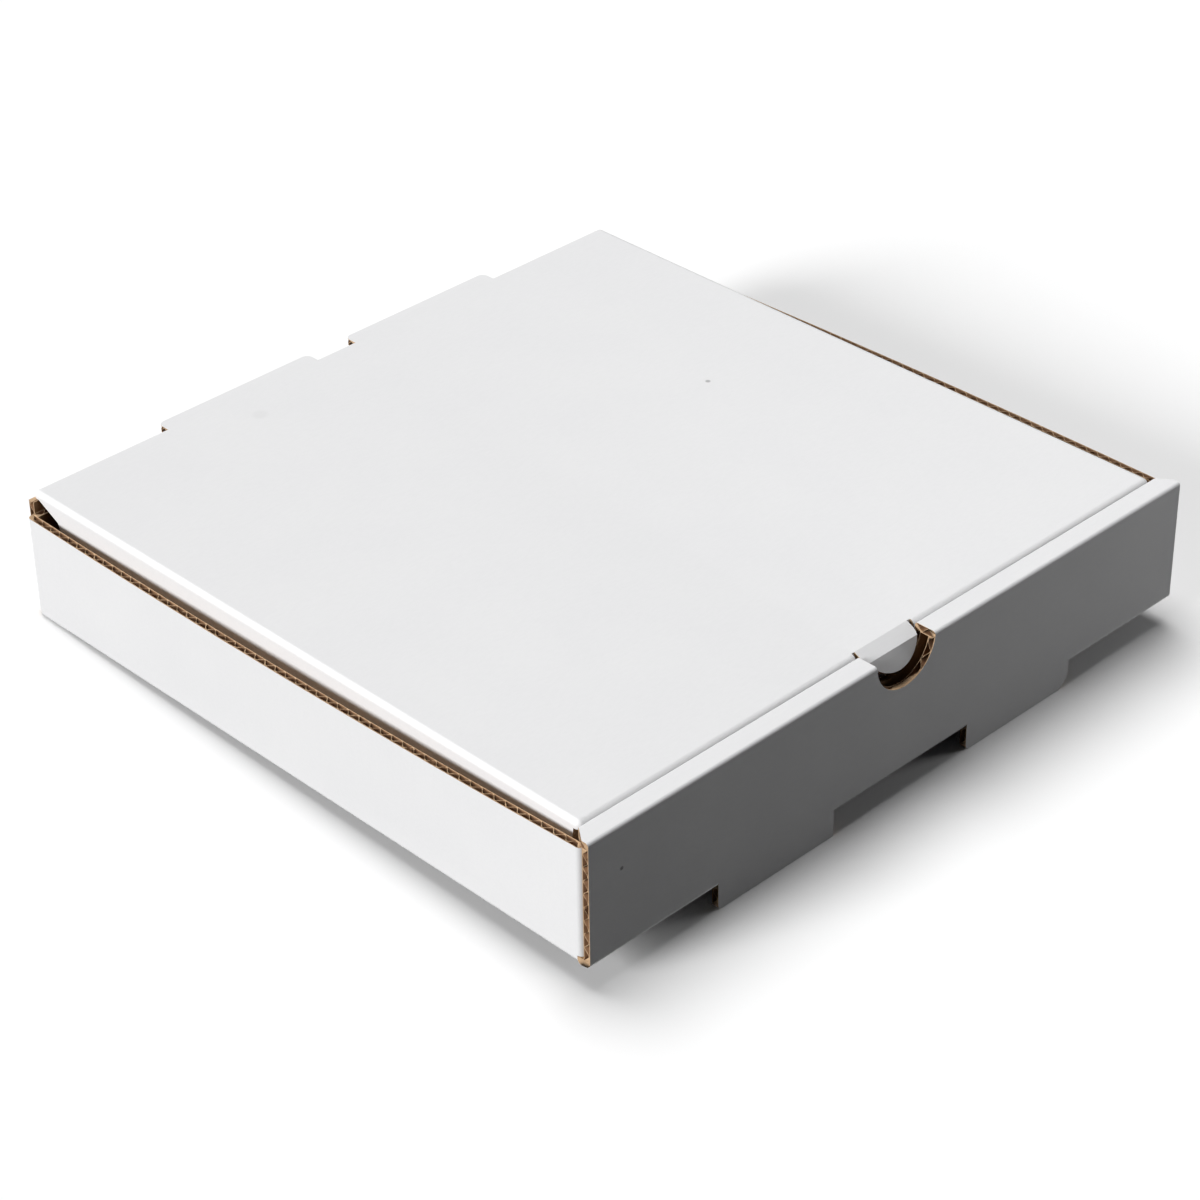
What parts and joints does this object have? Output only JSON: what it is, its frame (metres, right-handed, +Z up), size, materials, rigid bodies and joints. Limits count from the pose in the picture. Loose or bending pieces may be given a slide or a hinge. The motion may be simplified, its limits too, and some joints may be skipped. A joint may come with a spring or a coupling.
{
  "type": "pizza box",
  "caption": "Shallow square corrugated board box with a hinged lid, folded from one blank, white outside and brown inside",
  "frame": {"origin": "middle of the bounding box, level with the tips of the two feet under the front wall", "axes": "+X to the right along the front wall, +Y from the front wall to the lid's rear crease, +Z up"},
  "size_m": [0.3198, 0.313, 0.0625],
  "materials": {
    "board": "matte"
  },
  "bodies": {
    "tray": {"tray": "board"},
    "lid": {"lid": "board"}
  },
  "joints": [
    {"name": "lid_hinge", "type": "hinge", "parent": "tray", "child": "lid", "pos_m": [0, 0.1515, 0.0625], "axis": [-1, 0, 0], "range_deg": [0, 180]}
  ]
}
